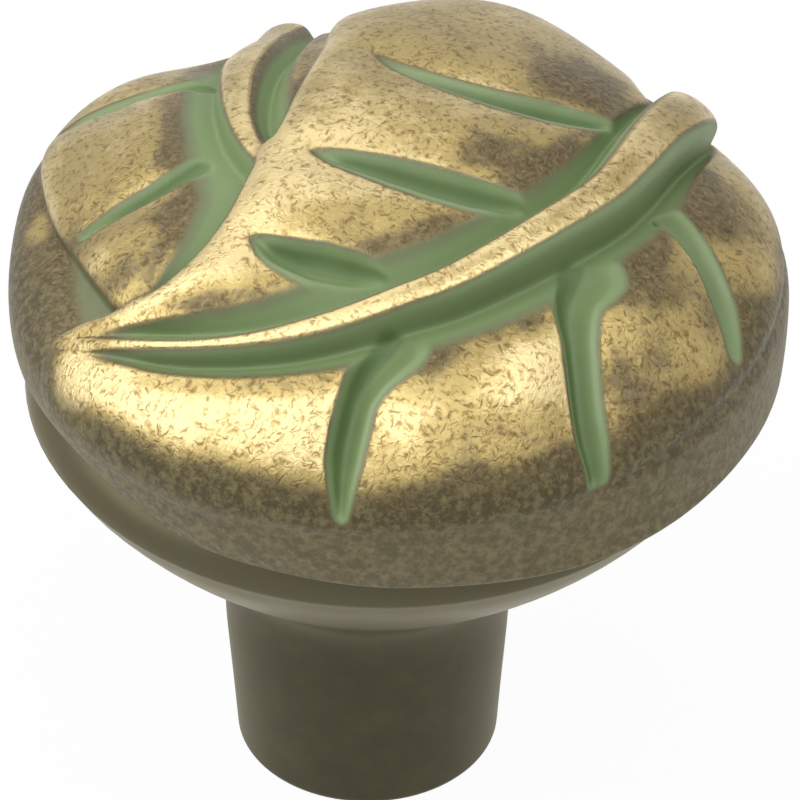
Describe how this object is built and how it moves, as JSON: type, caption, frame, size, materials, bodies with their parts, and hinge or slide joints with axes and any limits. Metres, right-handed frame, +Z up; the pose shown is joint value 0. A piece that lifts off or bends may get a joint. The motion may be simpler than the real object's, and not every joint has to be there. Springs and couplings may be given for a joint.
{
  "type": "cabinet knob",
  "caption": "Cast round cabinet knob with overlapping leaves in relief on a mushroom head, and a tapered stem with a blind screw hole in its foot.",
  "frame": {"origin": "on the foot's plane, under the centre of the head's outline", "axes": "+Z up the stem from the foot to the crown of the head; +X to the right and -Y towards the viewer, as the picture shows the leaves"},
  "size_m": [0.0348, 0.035, 0.0345],
  "materials": {
    "antique_brass": "antiqued and relieved brass finish on die-cast zinc, with flat green paint in the recesses"
  },
  "bodies": {
    "root": {"knob": "antique_brass"}
  },
  "joints": []
}
